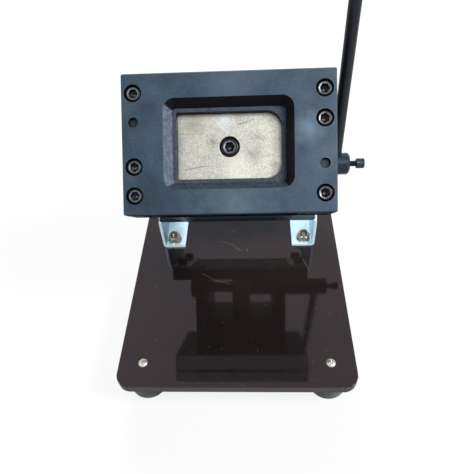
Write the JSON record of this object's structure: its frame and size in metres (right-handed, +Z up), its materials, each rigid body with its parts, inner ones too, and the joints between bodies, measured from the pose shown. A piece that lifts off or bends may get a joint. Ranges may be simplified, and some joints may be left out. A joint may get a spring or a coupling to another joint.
{
  "type": "id card cutter",
  "caption": "Tilted hand-lever die press that punches ID cards out of PVC sheet, on a board with rubber feet.",
  "frame": {"origin": "centre of the board's underside", "axes": "+Z up, +Y away from the operator towards the back, +X to the operator's right, where the lever is"},
  "size_m": [0.247, 0.3, 0.4686],
  "materials": {
    "phenolic_board": "polished dark brown laminate board",
    "rubber": "grey rubber",
    "bright_steel": "nickel bright steel",
    "zinc_sheet": "blue-white zinc plate",
    "yellow_zinc": "yellowed zinc plate",
    "black_screws": "black oxide, oiled",
    "blackened_steel": "ground steel with a blue-black oxide",
    "bronze": "turned bronze",
    "lever_black": "black oxide bar",
    "knob_plastic": "polished black plastic",
    "ram_steel": "ground steel, oiled",
    "punch_steel": "ground tool steel with smudges and scratches"
  },
  "bodies": {
    "frame": {"board": "phenolic_board", "rubber_feet": "rubber", "foot_screws": "bright_steel", "foot_washers": "bright_steel", "foot_nuts": "bright_steel", "left_bracket": "zinc_sheet", "right_bracket": "zinc_sheet", "bracket_bolts": "yellow_zinc", "bracket_washers": "zinc_sheet", "bracket_nuts": "yellow_zinc", "flange_screws": "black_screws", "rear_plate": "blackened_steel", "left_cheek": "blackened_steel", "right_cheek": "blackened_steel", "left_bush": "bronze", "right_bush": "bronze", "tie_screws": "black_screws", "guide_block": "blackened_steel", "guide_plate": "blackened_steel", "guide_screws": "black_screws", "left_spacer": "bright_steel", "right_spacer": "bright_steel", "die_plate": "blackened_steel", "die_screws": "black_screws", "dowel_pins": "black_screws"},
    "crank": {"eccentric_shaft": "blackened_steel", "shaft_collar": "blackened_steel", "collar_screw": "black_screws", "lever": "lever_black", "lever_knob": "knob_plastic", "lock_screw": "black_screws"},
    "ram": {"ram": "ram_steel", "punch": "punch_steel", "punch_screw": "black_screws"}
  },
  "joints": [
    {"name": "lever_swing", "type": "hinge", "parent": "frame", "child": "crank", "pos_m": [0, 0.04545, 0.11433], "axis": [1, 0, 0], "range_deg": [0, 90]},
    {"name": "ram_slide", "type": "slide", "parent": "frame", "child": "ram", "axis": [0, -0.682, 0.7314], "range_m": [0, 0.00566]}
  ],
  "couplings": [
    {"joint": "ram_slide", "follows": "lever_swing", "m_per_rad": 0.0036013}
  ]
}
